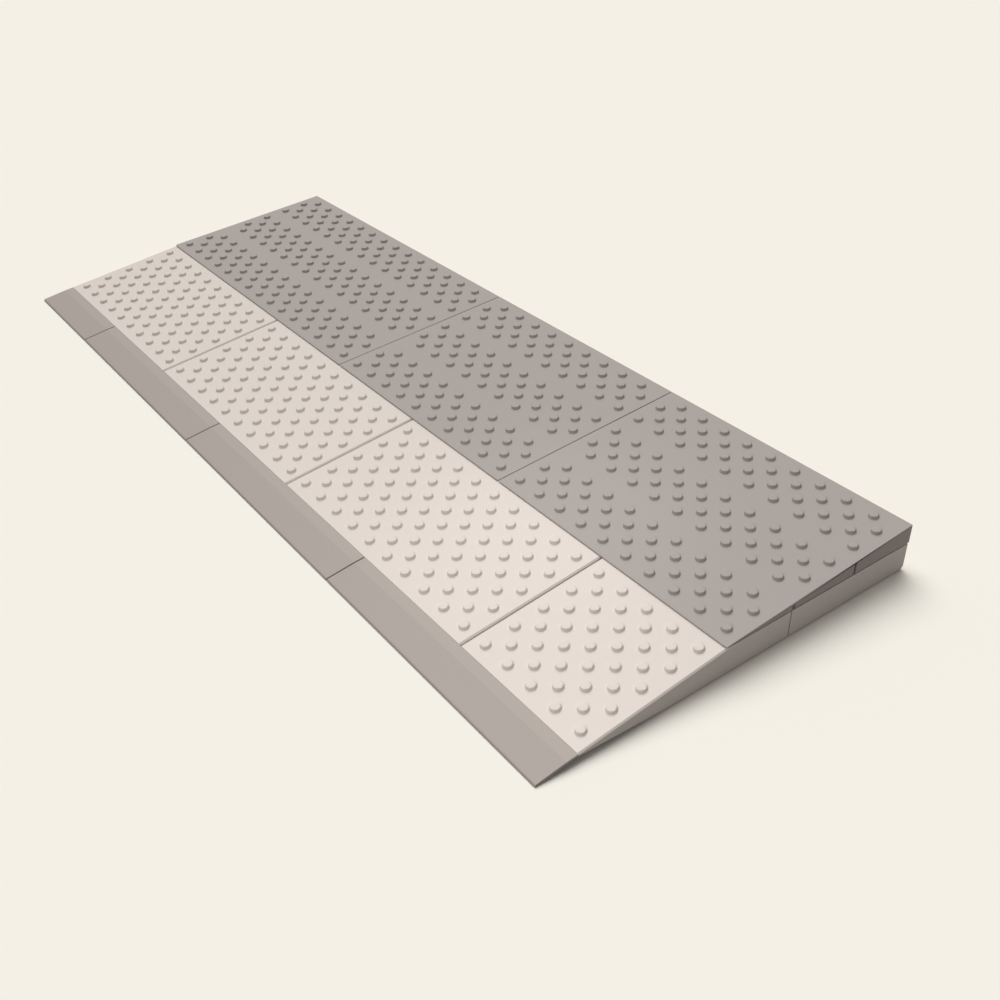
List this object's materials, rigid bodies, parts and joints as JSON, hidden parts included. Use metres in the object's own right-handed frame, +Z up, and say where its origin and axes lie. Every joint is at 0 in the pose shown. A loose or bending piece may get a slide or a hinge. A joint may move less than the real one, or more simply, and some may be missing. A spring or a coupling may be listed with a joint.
{
  "type": "threshold ramp",
  "caption": "Modular plastic wedge ramp for a door threshold: smooth lip, studded sloping tiles in two layers, interlocking blocks and keys beneath, with upper tiles that lift off.",
  "frame": {"origin": "under the middle of the ramp, on the floor", "axes": "+X along the doorway, +Y up the ramp from the lip to the rear, +Z up"},
  "size_m": [0.84, 0.332, 0.0395],
  "materials": {
    "lip_plastic": "fine satin moulding",
    "pale_plastic": "fine matte moulding",
    "grey_plastic": "fine matte moulding",
    "key_plastic": "plain moulding",
    "pad_rubber": "matte"
  },
  "bodies": {
    "lower_layer": {"lip_section_1": "lip_plastic", "lip_section_2": "lip_plastic", "lip_section_3": "lip_plastic", "lip_section_4": "lip_plastic", "front_tile_1": "pale_plastic", "front_tile_2": "pale_plastic", "front_tile_3": "pale_plastic", "front_tile_4": "pale_plastic", "base_block_1": "pale_plastic", "base_block_2": "pale_plastic", "base_block_3": "pale_plastic", "base_block_4": "pale_plastic", "front_row_keys": "key_plastic", "base_row_keys": "key_plastic", "cross_keys": "key_plastic", "front_grip_pads": "pad_rubber", "base_grip_pads": "pad_rubber"},
    "upper_1": {"top_tile_1": "grey_plastic"},
    "upper_2": {"top_tile_2": "grey_plastic"},
    "upper_3": {"top_tile_3": "grey_plastic"}
  },
  "joints": [
    {"name": "top_tile_1_lift", "type": "slide", "parent": "lower_layer", "child": "upper_1", "axis": [0, 0, 1], "range_m": [0, 0.06]},
    {"name": "top_tile_2_lift", "type": "slide", "parent": "lower_layer", "child": "upper_2", "axis": [0, 0, 1], "range_m": [0, 0.06]},
    {"name": "top_tile_3_lift", "type": "slide", "parent": "lower_layer", "child": "upper_3", "axis": [0, 0, 1], "range_m": [0, 0.06]}
  ]
}
